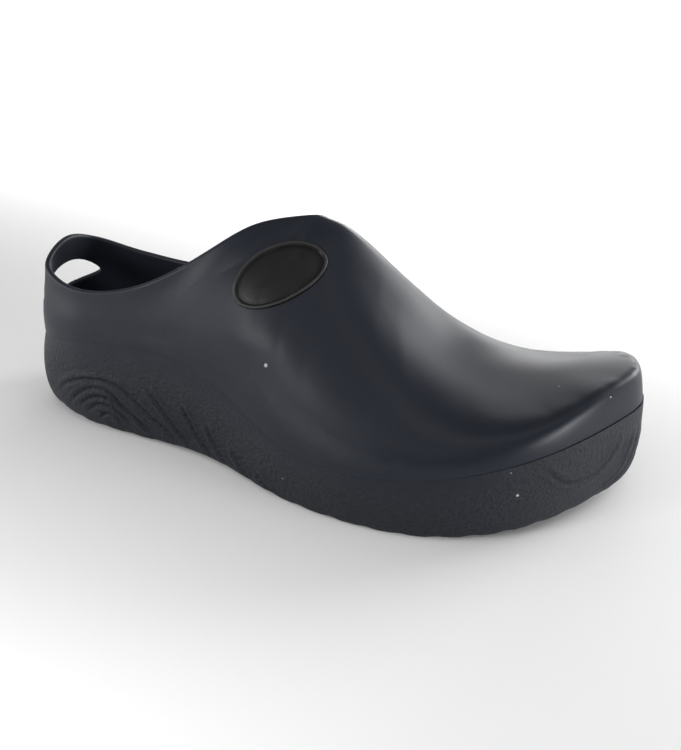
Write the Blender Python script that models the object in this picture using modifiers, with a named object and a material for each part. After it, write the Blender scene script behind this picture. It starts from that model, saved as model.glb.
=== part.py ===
# Moulded work clog for the right foot: a hollow upper on a cup sole, with an insole and an oval badge.
# Tables and sizes are in millimetres: x runs from heel to toe, -y is the outer side, z is up from the floor.
import math

import bmesh
import bpy
import numpy as np

MM = 0.001


def table(names, *rows):
    """Columns of a table by name, each an array with one value for every row."""
    return dict(zip(names.split(), np.array(rows, float).T))


# Driving sizes
UPPER_WALL = 2.8
MEETING_GAP = 0.3
SOLE_STEP = 0.6
SOLE_RIM = 3.4
RIM_FALL = 0.3
CUP_SLOPE = 4.6
CUP_KNEE_INSET = 0.35
CUP_KNEE_DROP = 0.7
SIDE_HANDLE = 0.55
EDGE_TUCK = 0.6
EDGE_SWELL = 1.2
INSOLE_THICKNESS = 4.0
INSOLE_CLEARANCE = 0.6
LUGS = 24
LUG_FLAT = 0.62
LUG_GROOVE = 3.0
SMOOTH_ANGLE = math.radians(35)

# Fineness of the nets
UPPER_COLUMNS = 4
UPPER_ROWS = 11
SOLE_ROWS = 5
BOTTOM_RUNGS = 4
FLOOR_RUNGS = 2
OVAL_STEPS = 28
RIB_STEPS = 10

# Sections are evenly counted from the heel back (0) to the toe tip; the collar closes at the throat section
SPANS = 12
THROAT = 6
ROUND = 2 * SPANS

# Parting line between upper and sole, on the outer and the inner side of the foot
PARTING = table(
    "x_outer y_outer x_inner y_inner z",
    (-3, 0, -3, 0, 39),
    (3, -22, 3, 20, 40),
    (29, -34, 29, 32.5, 45),
    (62, -36, 62, 34, 49.5),
    (92, -37, 92, 33, 48),
    (118, -42, 122, 35, 39),
    (146, -52, 156, 40, 27.5),
    (178, -58, 190, 46, 25),
    (210, -57, 222, 50.5, 28.5),
    (239, -47, 247, 52, 34.5),
    (262, -29, 266, 49.5, 40),
    (279, -1, 280, 40.5, 43),
    (287, 22.5, 287, 22.5, 43.5),
)
# Collar edge from the heel back to the throat
COLLAR = table(
    "x_outer y_outer z_outer x_inner y_inner z_inner",
    (3, 0, 83, 3, 0, 83),
    (6, -20, 76, 8, 19, 78),
    (28, -30, 71.5, 32, 29, 70.5),
    (57, -32, 76, 68, 32, 68.5),
    (87, -27, 89.5, 107, 32, 78),
    (117, -13.5, 110, 135, 25, 96),
    (139, 7, 110.8, 139, 7, 110.8),
)
# Crest of the vamp from the throat to the toe
CREST = table(
    "x y z",
    (139, 7, 110.8),
    (155, 9, 102),
    (176, 11, 82.5),
    (203, 14, 59),
    (230, 18, 52.5),
    (250, 20, 55),
    (266, 21.5, 58),
)
# Section curves of the upper: length and lean of the lower handle, length and droop of the upper handle,
# pull towards both handles (a high pull folds the toe edge), and how the inner side differs from the outer
SECTION = table(
    "rise lean reach droop pull inner_rise inner_reach inner_droop",
    (16, 3, 14, 86, 1, 1, 1, 86),
    (16, 3, 14, 86, 1, 1, 1, 86),
    (14, 3, 12, 86, 1, 1, 1, 86),
    (12, 3, 12, 84, 1, 1, 1, 86),
    (16, 4, 18, 78, 1, 1, 1, 82),
    (30, 5, 24, 44, 1, 1, 0.9, 62),
    (36, 6, 28, 8, 1, 0.9, 0.8, 14),
    (30, 6, 30, 2, 1, 0.8, 0.75, 4),
    (24, 6, 32, 0, 1, 0.8, 0.75, 0),
    (20, 5, 36, 0, 1.3, 0.9, 0.8, 0),
    (14.5, -4, 44, 0, 2.2, 1, 0.75, 0),
    (15.5, -7, 31, 1, 3, 1, 1, 1),
    (15.5, -8, 17, 4, 3.4, 1, 1, 4),
)
# Sole: tuck of the bottom edge, its height off the floor, swell of the side, arch, groove share, cup floor
SOLE = table(
    "tuck z_edge swell arch groove z_floor",
    (8, 0, 6, 0, 0.4, 20),
    (8, 0, 5, 0, 1, 20),
    (5, 0, 2.5, 0, 1, 20),
    (2, 1, 0.5, 2, 0.7, 19.5),
    (1, 2, 0.5, 6, 0.3, 18),
    (1, 1, 1, 3, 0.5, 15),
    (1, 0, 1, 0, 1, 12),
    (2, 0, 1, 0, 1, 11),
    (3, 0, 1, 0, 1, 11),
    (4, 1.5, 1, 0, 1, 12),
    (5, 3.5, 1.5, 0, 1, 14),
    (5, 5, 1.5, 0, 0.7, 16),
    (5, 6, 1.5, 0, 0.4, 17),
)
# Heel hole: an oval through the band at the back that follows the collar edge
HOLE = {"half_width": 21, "half_height": 6.8, "z": 62.5, "sag": 3.5, "depth": 26}
# Badge: its centre on the upper, in sections and share of height, its half axes and the lie of the long one
BADGE = {"section": 5.75, "share": 0.66, "half_long": 22, "half_short": 13.5, "lie": (32, 24, 17)}
BADGE_SEAT = 1.2
BADGE_PROUD = 0.3
BADGE_BEAD = 0.9
BADGE_RINGS = np.array([0, 0.35, 0.7, 0.86, 0.9, 1.0])
BADGE_BEAD_FROM = 0.9
# Rainbow ribs at the heel side: reach along the side in sections, height as a share of the side, and sweep
HEEL_RIB_CENTRE = 2.45
HEEL_RIB_BASE = 1.0
HEEL_RIBS = table(
    "reach height start_deg end_deg",
    (0.65, 0.47, 14, 166),
    (0.8, 0.555, 14, 166),
    (0.95, 0.63, 14, 166),
    (1.1, 0.705, 14, 162),
    (1.5, 0.745, 14, 55),
    (1.95, 0.84, 14, 45),
    (2.35, 0.93, 14, 40),
)
# Bowl-shaped ribs on both corners of the toe
TOE_RIB_CENTRE = 10.45
TOE_RIB_BASE = 0.02
TOE_RIBS = table(
    "reach height start_deg end_deg",
    (0.95, 0.5, 200, 350),
    (1.35, 0.74, 265, 350),
)
RIB_WIDTH = 2.6
RIB_PROUD = 0.9
RIB_ROOT = 1.0
RIB_CREST = 0.6
RIB_LIFT = 1.0

# Colours of the moulded polyurethane, the rubber and the footbed
FINISHES = {
    "upper": ((0.020, 0.024, 0.036, 1), 0.38),
    "sole": ((0.018, 0.021, 0.030, 1), 0.62),
    "insole": ((0.012, 0.013, 0.016, 1), 0.8),
    "badge": ((0.016, 0.015, 0.015, 1), 0.45),
}


def smooth(rows, at, ring):
    """Smooth curve through evenly spaced rows, read at positions counted in the spaces between them."""
    rows = np.asarray(rows, float)
    at = np.asarray(at, float)
    if ring:
        at = np.mod(at, len(rows))
        padded = np.concatenate([rows[-1:], rows, rows[:2]])
    else:
        padded = np.concatenate([2 * rows[:1] - rows[1:2], rows, 2 * rows[-1:] - rows[-2:-1]])
    first = np.clip(np.floor(at).astype(int), 0, len(padded) - 4)
    f = (at - first).reshape(at.shape + (1,) * (rows.ndim - 1))
    a, b, c, d = (padded[first + k] for k in range(4))
    return b + 0.5 * f * (c - a + f * (2 * a - 5 * b + 4 * c - d + f * (3 * (b - c) + d - a)))


def round_the_shoe(outer, inner, at):
    """Rows read along the outer side from heel to toe and back along the inner side."""
    return smooth(np.concatenate([outer, inner[-2:0:-1]]), at, True)


def columns(source, *names):
    """Named columns of a table side by side."""
    return np.stack([source[name] for name in names], 1)


def both_sides(values, at):
    """One value for each section, the same on both sides of the shoe."""
    return round_the_shoe(values, values, at)


def section_at(at):
    """Section number from heel to toe for a place counted all the way round."""
    at = np.mod(at, ROUND)
    return np.minimum(at, ROUND - at)


def unit(vectors):
    """Vectors of length one."""
    return vectors / np.maximum(np.linalg.norm(vectors, axis=-1, keepdims=True), 1e-9)


def parting(at):
    """Points of the parting line."""
    outer = columns(PARTING, "x_outer", "y_outer", "z")
    inner = columns(PARTING, "x_inner", "y_inner", "z")
    return round_the_shoe(outer, inner, at)


def outward(at):
    """Level direction away from the shoe, square to the parting line."""
    quarter = 0.25
    run = parting(at + quarter) - parting(at - quarter)
    return unit(np.stack([run[:, 1], -run[:, 0], 0 * run[:, 0]], 1))


def top_line(at):
    """Upper end of each section curve: the collar edge, or the crest in front of the throat."""
    at = np.mod(at, ROUND)
    outer = columns(COLLAR, "x_outer", "y_outer", "z_outer")
    inner = columns(COLLAR, "x_inner", "y_inner", "z_inner")
    collar_at = np.where(at <= SPANS, at, at - (ROUND - 2 * THROAT))
    collar = round_the_shoe(outer, inner, collar_at)
    crest = smooth(columns(CREST, "x", "y", "z"), section_at(at) - THROAT, False)
    return np.where((section_at(at) <= THROAT)[:, None], collar, crest)


def crest_slope(at):
    """Fall of the crest for each metre forward."""
    step = 0.05
    last = len(CREST["x"]) - 1
    place = np.clip(section_at(at) - THROAT, step, last - step)
    ahead = smooth(columns(CREST, "x", "z"), place + step, False)
    behind = smooth(columns(CREST, "x", "z"), place - step, False)
    return (ahead[:, 1] - behind[:, 1]) / (ahead[:, 0] - behind[:, 0])


def bezier(start, first, second, end, pull, shares):
    """Rational cubic curves, one for each row of points, read at shares of their length, common or by row."""
    s = np.atleast_2d(shares)[:, :, None]
    w = pull[:, None, None]
    b0 = (1 - s) ** 3
    b1 = 3 * w * s * (1 - s) ** 2
    b2 = 3 * w * s**2 * (1 - s)
    b3 = s**3
    total = start[:, None] * b0 + first[:, None] * b1 + second[:, None] * b2 + end[:, None] * b3
    return total / (b0 + b1 + b2 + b3)


def upper_surface(at, shares):
    """Outer face of the upper: section curves from the parting line up to the collar or the crest."""
    up = np.array([0, 0, 1.0])
    foot = parting(at)
    top = top_line(at)
    out = outward(at)
    section = section_at(at)
    lean, pull = (both_sides(SECTION[name], at)[:, None] for name in ("lean", "pull"))
    rise = round_the_shoe(SECTION["rise"], SECTION["rise"] * SECTION["inner_rise"], at)[:, None]
    reach = round_the_shoe(SECTION["reach"], SECTION["reach"] * SECTION["inner_reach"], at)[:, None]
    droop = np.radians(round_the_shoe(SECTION["droop"], SECTION["inner_droop"], at))[:, None]
    lean = np.radians(lean)
    first = foot + rise * (out * np.sin(lean) + up * np.cos(lean))
    away = (foot - top) * np.array([1, 1, 0])
    on_collar = np.clip((THROAT - section) / 2, 0, 1)[:, None]
    side = unit(unit(away) * (1 - on_collar) + out * on_collar)
    before_throat = np.clip(section - THROAT + 1, 0, 1)
    fall = (crest_slope(at) * before_throat)[:, None] * side[:, :1]
    second = top + reach * (side * np.cos(droop) + up * (fall * np.cos(droop) - np.sin(droop)))
    return bezier(foot, first, second, top, pull[:, 0], shares)


def sole_side(at, shares, grooves):
    """Outer face of the sole from the parting line down to the bottom edge, lifted in the grooves."""
    up = np.array([0, 0, 1.0])
    out = outward(at)
    tuck, z_edge, swell = (both_sides(SOLE[name], at)[:, None] for name in ("tuck", "z_edge", "swell"))
    start = parting(at) + out * SOLE_STEP - up * MEETING_GAP
    end = start - out * (tuck + SOLE_STEP)
    end[:, 2:] = np.maximum(z_edge, 0) + grooves[:, None]
    height = start[:, 2:] - end[:, 2:]
    first = start - up * height * SIDE_HANDLE + out * swell
    second = end + out * (tuck * EDGE_TUCK + swell * EDGE_SWELL)
    return bezier(start, first, second, end, np.ones(len(at)), shares)


def paired_points(surface, at, share):
    """Points of a surface function at paired places."""
    return surface(at, share[:, None])[:, 0]


def slopes(surface, at, share):
    """Change of a surface's points along the shoe and up its height at paired places."""
    step = 0.01
    along = paired_points(surface, at + step, share) - paired_points(surface, at - step, share)
    rising = paired_points(surface, at, share + step) - paired_points(surface, at, share - step)
    return along / (2 * step), rising / (2 * step)


def surface_normal(surface, at, share):
    """Unit normal of a surface function at paired places, facing outwards where shares run upwards."""
    return unit(np.cross(*slopes(surface, at, share)))


def badge_places(across, along):
    """Places on the upper that lie square under points of the badge's own flat plan."""
    at = np.full(len(across), float(BADGE["section"]))
    share = np.full(len(across), BADGE["share"])
    middle = paired_points(upper_surface, at, share)
    normal = surface_normal(upper_surface, at, share)
    long_axis = np.array(BADGE["lie"], float)
    long_axis = unit(long_axis - normal * (normal @ long_axis)[:, None])
    short_axis = np.cross(normal, long_axis)
    for _ in range(8):
        off = paired_points(upper_surface, at, share) - middle
        miss_long = along - (off * long_axis).sum(1)
        miss_short = across - (off * short_axis).sum(1)
        by_at, by_share = slopes(upper_surface, at, share)
        a, b = (by_at * long_axis).sum(1), (by_share * long_axis).sum(1)
        c, d = (by_at * short_axis).sum(1), (by_share * short_axis).sum(1)
        at = at + (d * miss_long - b * miss_short) / (a * d - b * c)
        share = share + (a * miss_short - c * miss_long) / (a * d - b * c)
    return at, share


def add_loft(mesh, points, ring=False):
    """Adds a net of points, in millimetres, to a bmesh as quads; a ring joins its last row to its first."""
    rows = [[mesh.verts.new(p * MM) for p in row] for row in points]
    if ring:
        rows.append(rows[0])
    for near, far in zip(rows, rows[1:]):
        for k in range(len(near) - 1):
            mesh.faces.new((near[k], far[k], far[k + 1], near[k + 1]))


def finish_object(name, mesh, collection, weld=1e-6):
    """Welds a bmesh, turns its faces outwards and links it as a named object with its own material."""
    bmesh.ops.remove_doubles(mesh, verts=mesh.verts[:], dist=weld)
    bmesh.ops.recalc_face_normals(mesh, faces=mesh.faces[:])
    data = bpy.data.meshes.new(name)
    mesh.to_mesh(data)
    mesh.free()
    obj = bpy.data.objects.new(name, data)
    collection.objects.link(obj)
    if name in FINISHES:
        data.materials.append(moulded_material(name, *FINISHES[name]))
    return obj


def moulded_material(name, colour, roughness):
    """Principled material of a moulded piece."""
    material = bpy.data.materials.new(name)
    material.use_nodes = True
    shader = material.node_tree.nodes["Principled BSDF"]
    shader.inputs["Base Color"].default_value = colour
    shader.inputs["Roughness"].default_value = roughness
    shader.inputs["Metallic"].default_value = 0.0
    return material


def add_cutter(name, mesh, collection):
    """A hidden helper solid for a Boolean."""
    obj = finish_object(name, mesh, collection)
    obj.hide_render = True
    obj.display_type = "WIRE"
    return obj


def boolean(obj, tool, operation):
    """Cuts or joins an object with a helper solid."""
    modifier = obj.modifiers.new(tool.name, "BOOLEAN")
    modifier.operation = operation
    modifier.object = tool
    modifier.solver = "EXACT"


def shade_rounded(obj):
    """Smooth shading with sharp edges kept where faces turn sharply."""
    obj.data.shade_smooth()
    obj.data.set_sharp_from_angle(angle=SMOOTH_ANGLE)


def oval_shell(low, high, shrink, bead):
    """Closed oval patch of the upper's own surface between two offsets, with a bead round its top."""
    turns = np.linspace(0, 2 * math.pi, OVAL_STEPS, endpoint=False)
    along = np.outer(np.cos(turns), BADGE_RINGS * (BADGE["half_long"] - shrink)).ravel()
    across = np.outer(np.sin(turns), BADGE_RINGS * (BADGE["half_short"] - shrink)).ravel()
    at, share = badge_places(across, along)
    points = paired_points(upper_surface, at, share).reshape(OVAL_STEPS, -1, 3)
    normals = surface_normal(upper_surface, at, share).reshape(OVAL_STEPS, -1, 3)
    under = points + normals * low
    over = points + normals * (high + bead * (BADGE_RINGS >= BADGE_BEAD_FROM))[None, :, None]
    mesh = bmesh.new()
    add_loft(mesh, under, ring=True)
    add_loft(mesh, over, ring=True)
    add_loft(mesh, np.stack([under[:, -1], over[:, -1]], 1), ring=True)
    return mesh


def heel_hole_cutter():
    """Oval prism through the heel band, bent so that its ends hang lower with the collar edge."""
    mesh = bmesh.new()
    turns = np.linspace(0, 2 * math.pi, OVAL_STEPS, endpoint=False)
    y = HOLE["half_width"] * np.cos(turns)
    z = HOLE["z"] + HOLE["half_height"] * np.sin(turns) - HOLE["sag"] * np.cos(turns) ** 2
    back = np.stack([0 * y - HOLE["depth"], y, z], 1)
    ends = [back, back + np.array([2 * HOLE["depth"], 0, 0])]
    add_loft(mesh, np.stack(ends, 1), ring=True)
    for end in ends:
        mesh.faces.new([mesh.verts.new(p * MM) for p in end])
    return mesh


def build_upper(parts, cutters):
    """Hollow upper: the lofted outer face with a wall inside it, the heel hole and the badge's seat."""
    shares = np.linspace(0, 1, UPPER_ROWS + 1)
    mesh = bmesh.new()
    at = np.arange(0, ROUND, 1 / UPPER_COLUMNS)
    add_loft(mesh, upper_surface(at, shares), ring=True)
    upper = finish_object("upper", mesh, parts)
    wall = upper.modifiers.new("wall", "SOLIDIFY")
    wall.thickness = UPPER_WALL * MM
    wall.offset = -1
    wall.use_even_offset = True
    wall.thickness_clamp = 1.0
    boolean(upper, add_cutter("heel_hole_cutter", heel_hole_cutter(), cutters), "DIFFERENCE")
    seat = oval_shell(-BADGE_SEAT, 3 * BADGE_SEAT, 0, 0)
    boolean(upper, add_cutter("badge_seat_cutter", seat, cutters), "DIFFERENCE")
    return upper


def build_badge(parts):
    """Oval rubber badge in its seat, with a raised bead round a bare face."""
    shell = oval_shell(MEETING_GAP - BADGE_SEAT, BADGE_PROUD, MEETING_GAP, BADGE_BEAD)
    return finish_object("badge", shell, parts)


def lug_stations():
    """Sections of the lug edges and groove bottoms from heel to toe, with the groove share at each."""
    pitch = SPANS / LUGS
    stations = []
    for lug in range(LUGS):
        stations += [(lug * pitch, 0), ((lug + LUG_FLAT) * pitch, 0), ((lug + 0.5 + LUG_FLAT / 2) * pitch, 1)]
    stations[-1] = (SPANS, 0)
    return np.array(stations)


def ladder(outer, inner, rungs, lift):
    """Net across the shoe between its two edges, lifted along the middle of each rung."""
    share = np.linspace(0, 1, rungs + 1)[None, :, None]
    net = outer[:, None] * (1 - share) + inner[:, None] * share
    net[:, :, 2] += lift[:, None] * np.sin(math.pi * share[:, :, 0])
    return net


def split_sides(line, count):
    """The outer and the inner half of a line that runs all the way round, both from heel to toe."""
    inner = np.concatenate([line[:1], line[:count - 2:-1]])
    return line[:count], inner


def add_rib(name, centre, base, reach, height, start_deg, end_deg, mirrored, cutters):
    """Raised rib along an arc on the sole's side; its ends point to the base share and stay off the floor."""
    turns = np.radians(np.linspace(start_deg, end_deg, RIB_STEPS + 1))
    at = centre + reach * np.cos(turns)
    share = base - height * np.sin(turns)
    if mirrored:
        at = ROUND - at

    def side(places, shares):
        return sole_side(places, shares, np.zeros(len(places)))

    points = paired_points(side, at, share)
    normals = -surface_normal(side, at, share)
    runs = unit(np.gradient(points, axis=0))
    across = unit(np.cross(normals, runs)) * RIB_WIDTH / 2
    mesh = bmesh.new()
    corners = [
        points - normals * RIB_ROOT - across,
        points + normals * RIB_PROUD - across * RIB_CREST,
        points + normals * RIB_PROUD + across * RIB_CREST,
        points - normals * RIB_ROOT + across,
    ]
    net = np.stack(corners + corners[:1], 1)
    net[:, :, 2] = np.maximum(net[:, :, 2], RIB_LIFT)
    add_loft(mesh, net)
    for end in (net[0], net[-1]):
        mesh.faces.new([mesh.verts.new(p * MM) for p in end[:4]])
    return add_cutter(name, mesh, cutters)


def build_sole(parts, cutters):
    """Cup sole: grooved bottom with arch and toe spring, swelling side, rim, cup and raised ribs."""
    stations = lug_stations()
    count = len(stations)
    section = np.concatenate([stations[:, 0], ROUND - stations[-2:0:-1, 0]])
    share = np.concatenate([stations[:, 1], stations[-2:0:-1, 1]])
    grooves = LUG_GROOVE * share * both_sides(SOLE["groove"], section)
    out = outward(section)
    side = sole_side(section, np.linspace(0, 1, SOLE_ROWS + 1), grooves)
    rim = parting(section) - out * SOLE_RIM
    rim[:, 2] -= MEETING_GAP + RIM_FALL
    floor = rim - out * CUP_SLOPE
    floor[:, 2] = both_sides(SOLE["z_floor"], section)
    knee = rim - out * CUP_SLOPE * CUP_KNEE_INSET
    knee[:, 2] = floor[:, 2] * CUP_KNEE_DROP + rim[:, 2] * (1 - CUP_KNEE_DROP)
    mesh = bmesh.new()
    add_loft(mesh, side, ring=True)
    add_loft(mesh, np.stack([side[:, 0], rim, knee, floor], 1), ring=True)
    arch = np.maximum(smooth(SOLE["arch"], stations[:, 0], False), 0)
    add_loft(mesh, ladder(*split_sides(side[:, -1], count), BOTTOM_RUNGS, arch))
    add_loft(mesh, ladder(*split_sides(floor, count), FLOOR_RUNGS, 0 * arch))
    sole = finish_object("sole", mesh, parts)
    for kind, centre, base, ribs, sides in (
        ("heel", HEEL_RIB_CENTRE, HEEL_RIB_BASE, HEEL_RIBS, (False, True)),
        ("toe", TOE_RIB_CENTRE, TOE_RIB_BASE, TOE_RIBS, (False, True)),
    ):
        for mirrored in sides:
            for k, row in enumerate(zip(*ribs.values())):
                name = f"{kind}_rib_{'inner' if mirrored else 'outer'}_{k + 1}"
                boolean(sole, add_rib(name, centre, base, *row, mirrored, cutters), "UNION")
    return sole


def build_insole(parts):
    """Footbed that lies in the cup."""
    stations = np.linspace(0, SPANS, UPPER_COLUMNS * SPANS + 1)
    section = np.concatenate([stations, ROUND - stations[-2:0:-1]])
    margin = SOLE_RIM + CUP_SLOPE + INSOLE_CLEARANCE
    low = parting(section) - outward(section) * margin
    low[:, 2] = both_sides(SOLE["z_floor"], section) + MEETING_GAP
    high = low + np.array([0, 0, INSOLE_THICKNESS])
    mesh = bmesh.new()
    add_loft(mesh, np.stack([low, high], 1), ring=True)
    for edge in (low, high):
        add_loft(mesh, ladder(*split_sides(edge, len(stations)), BOTTOM_RUNGS, 0 * stations))
    return finish_object("insole", mesh, parts)


def centre_on_floor(objects, root):
    """Moves the shoe so that the middle of its box stands over the origin."""
    bpy.context.view_layer.update()
    graph = bpy.context.evaluated_depsgraph_get()
    corners = []
    for obj in objects:
        shape = obj.evaluated_get(graph).to_mesh()
        points = np.array([v.co for v in shape.vertices])
        corners += [points.min(0), points.max(0)]
    low = np.min(corners, 0)
    high = np.max(corners, 0)
    root.location = (-(low[0] + high[0]) / 2, -(low[1] + high[1]) / 2, -low[2])


def main():
    for obj in list(bpy.data.objects):
        bpy.data.objects.remove(obj, do_unlink=True)
    parts = bpy.data.collections.new("clog")
    cutters = bpy.data.collections.new("cutters")
    bpy.context.scene.collection.children.link(parts)
    bpy.context.scene.collection.children.link(cutters)
    shoe = [build_upper(parts, cutters), build_sole(parts, cutters), build_insole(parts), build_badge(parts)]
    root = bpy.data.objects.new("clog_root", None)
    parts.objects.link(root)
    centre_on_floor(shoe, root)
    for obj in list(parts.objects) + list(cutters.objects):
        if obj is not root:
            obj.parent = root
    for obj in shoe:
        shade_rounded(obj)


main()
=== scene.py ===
# %% [markdown]
# # A moulded work clog
# The real clog is poured in two shots of polyurethane: a smooth shell over the foot and a grained cup
# sole under it, with a loose footbed inside and an oval rubber badge let into the outer side. The
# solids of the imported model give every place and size, and this lesson puts fine surfaces over them
# without moving anything.

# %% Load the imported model
import math

import bmesh
import bpy
import numpy as np
from mathutils import Matrix, Vector


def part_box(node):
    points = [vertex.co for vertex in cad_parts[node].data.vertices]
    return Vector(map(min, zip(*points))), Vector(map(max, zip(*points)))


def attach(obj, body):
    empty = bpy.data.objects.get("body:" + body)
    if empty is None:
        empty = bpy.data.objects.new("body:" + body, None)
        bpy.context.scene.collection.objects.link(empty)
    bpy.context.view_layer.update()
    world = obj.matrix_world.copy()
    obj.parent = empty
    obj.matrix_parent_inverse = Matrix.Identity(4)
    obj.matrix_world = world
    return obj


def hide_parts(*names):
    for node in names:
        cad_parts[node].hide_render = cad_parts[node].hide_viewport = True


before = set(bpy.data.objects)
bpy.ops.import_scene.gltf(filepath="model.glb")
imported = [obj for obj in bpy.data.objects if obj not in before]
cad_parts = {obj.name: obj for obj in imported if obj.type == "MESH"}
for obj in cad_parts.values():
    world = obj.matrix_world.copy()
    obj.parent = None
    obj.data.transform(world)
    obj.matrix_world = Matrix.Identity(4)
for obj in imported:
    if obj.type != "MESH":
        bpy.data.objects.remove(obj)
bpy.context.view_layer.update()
print("packed nodes:", sorted(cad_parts))

# %% [markdown]
# ## The last
# A shoe is shaped over a last, so its form is a small set of sections from heel to toe. The tables
# below are in millimetres: x runs from heel to toe, -y is the outer side and z is up from the floor.
# Section 0 is the heel back, section 6 the throat and section 12 the toe tip. Every surface is read
# from these rows by smooth curves, which is why the mesh can be as fine as it likes and still keeps the
# form of the solids.

# %% Tables of the last
MM = 0.001
SPANS = 12
THROAT = 6
ROUND = 2 * SPANS


def table(names, *rows):
    """Columns of a table by name, each an array with one value for every row."""
    return dict(zip(names.split(), np.array(rows, float).T))


PARTING = table(
    "x_outer y_outer x_inner y_inner z",
    (-3, 0, -3, 0, 39),
    (3, -22, 3, 20, 40),
    (29, -34, 29, 32.5, 45),
    (62, -36, 62, 34, 49.5),
    (92, -37, 92, 33, 48),
    (118, -42, 122, 35, 39),
    (146, -52, 156, 40, 27.5),
    (178, -58, 190, 46, 25),
    (210, -57, 222, 50.5, 28.5),
    (239, -47, 247, 52, 34.5),
    (262, -29, 266, 49.5, 40),
    (279, -1, 280, 40.5, 43),
    (287, 22.5, 287, 22.5, 43.5),
)
COLLAR = table(
    "x_outer y_outer z_outer x_inner y_inner z_inner",
    (3, 0, 83, 3, 0, 83),
    (6, -20, 76, 8, 19, 78),
    (28, -30, 71.5, 32, 29, 70.5),
    (57, -32, 76, 68, 32, 68.5),
    (87, -27, 89.5, 107, 32, 78),
    (117, -13.5, 110, 135, 25, 96),
    (139, 7, 110.8, 139, 7, 110.8),
)
CREST = table(
    "x y z",
    (139, 7, 110.8),
    (155, 9, 102),
    (176, 11, 82.5),
    (203, 14, 59),
    (230, 18, 52.5),
    (250, 20, 55),
    (266, 21.5, 58),
)
SECTION = table(
    "rise lean reach droop pull inner_rise inner_reach inner_droop",
    (16, 3, 14, 86, 1, 1, 1, 86),
    (16, 3, 14, 86, 1, 1, 1, 86),
    (14, 3, 12, 86, 1, 1, 1, 86),
    (12, 3, 12, 84, 1, 1, 1, 86),
    (16, 4, 18, 78, 1, 1, 1, 82),
    (30, 5, 24, 44, 1, 1, 0.9, 62),
    (36, 6, 28, 8, 1, 0.9, 0.8, 14),
    (30, 6, 30, 2, 1, 0.8, 0.75, 4),
    (24, 6, 32, 0, 1, 0.8, 0.75, 0),
    (20, 5, 36, 0, 1.3, 0.9, 0.8, 0),
    (14.5, -4, 44, 0, 2.5, 1, 0.75, 0),
    (15.5, -7, 31, 1, 4, 1, 1, 1),
    (15.5, -8, 17, 4, 4.6, 1, 1, 4),
)
SOLE = table(
    "tuck z_edge swell arch groove z_floor",
    (8, 0, 6, 0, 0.4, 20),
    (8, 0, 5, 0, 1, 20),
    (5, 0, 2.5, 0, 1, 20),
    (2, 1, 0.5, 2, 0.7, 19.5),
    (1, 2, 0.5, 6, 0.3, 18),
    (1, 1, 1, 3, 0.5, 15),
    (1, 0, 1, 0, 1, 12),
    (2, 0, 1, 0, 1, 11),
    (3, 0, 1, 0, 1, 11),
    (4, 1.5, 1, 0, 1, 12),
    (5, 3.5, 1.5, 0, 1, 14),
    (5, 5, 1.5, 0, 0.7, 16),
    (5, 6, 1.5, 0, 0.4, 17),
)
MEETING_GAP = 0.3
SOLE_STEP = 0.45
STEP_FROM = (8.5, 10.5)
STEP_SHARES = (0.1, 1)
SIDE_HANDLE = 0.55
EDGE_TUCK = 0.6
EDGE_SWELL = 1.2
last_long = PARTING["x_outer"].max() - PARTING["x_outer"].min()
print("last of", SPANS, "spans,", last_long, "mm at the parting line")

# %% [markdown]
# Between the rows, curves through every row give the lines along the shoe, and a cubic curve at each
# place gives the section from the parting line up. They could be drawn as Blender curves and joined by
# a loft, but as functions they give a point and a normal at any place, which every later step needs.
# Rows that are given one by one leave small kinks, which a glossy skin shows, so the points are eased
# along the shoe with a short row of weights that keeps the broad form.

# %% Curves and surfaces of the last
UP = np.array([0, 0, 1.0])
COLLAR_RUN_IN = 2
# The easing, in sections, is less at heel and toe, and goes out near the throat and the end of the crest.
EASE_WIDTH = 0.45
EASE_ENDS = (1.5, 3.5, 10.5, 13.0)
EASE_SHARES = (0.05, 1, 1, 0.3)
THROAT_ROOM = 1.8
THROAT_KEPT = 0.1
THROAT_BELOW = 0.25
CREST_END_ROOM = 1.5
bell = np.array([1, 4, 6, 4, 1]) / 16
EASE = 2 * np.pad(bell, 2) - np.convolve(bell, bell)


def smooth(rows, at, ring):
    """Smooth curve through evenly spaced rows, read at positions counted in the spaces between them."""
    rows = np.asarray(rows, float)
    at = np.asarray(at, float)
    if ring:
        at = np.mod(at, len(rows))
        padded = np.concatenate([rows[-1:], rows, rows[:2]])
    else:
        padded = np.concatenate([2 * rows[:1] - rows[1:2], rows, 2 * rows[-1:] - rows[-2:-1]])
    first = np.clip(np.floor(at).astype(int), 0, len(padded) - 4)
    f = (at - first).reshape(at.shape + (1,) * (rows.ndim - 1))
    a, b, c, d = (padded[first + k] for k in range(4))
    return b + 0.5 * f * (c - a + f * (2 * a - 5 * b + 4 * c - d + f * (3 * (b - c) + d - a)))


def round_the_shoe(outer, inner, at):
    """Rows read along the outer side from heel to toe and back along the inner side."""
    return smooth(np.concatenate([outer, inner[-2:0:-1]]), at, True)


def both_sides(values, at):
    """One value for each section, the same on both sides of the shoe."""
    return round_the_shoe(values, values, at)


def columns(source, *names):
    """Named columns of a table side by side."""
    return np.stack([source[name] for name in names], 1)


def section_at(at):
    """Section number from heel to toe for a place counted all the way round."""
    at = np.mod(at, ROUND)
    return np.minimum(at, ROUND - at)


def soft_step(value):
    """Smooth rise from 0 to 1."""
    value = np.clip(value, 0, 1)
    return value * value * (3 - 2 * value)


def unit(vectors):
    """Vectors of length one."""
    return vectors / np.maximum(np.linalg.norm(vectors, axis=-1, keepdims=True), 1e-9)


def parting(at):
    """Points of the parting line between upper and sole."""
    outer = columns(PARTING, "x_outer", "y_outer", "z")
    inner = columns(PARTING, "x_inner", "y_inner", "z")
    return round_the_shoe(outer, inner, at)


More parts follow.
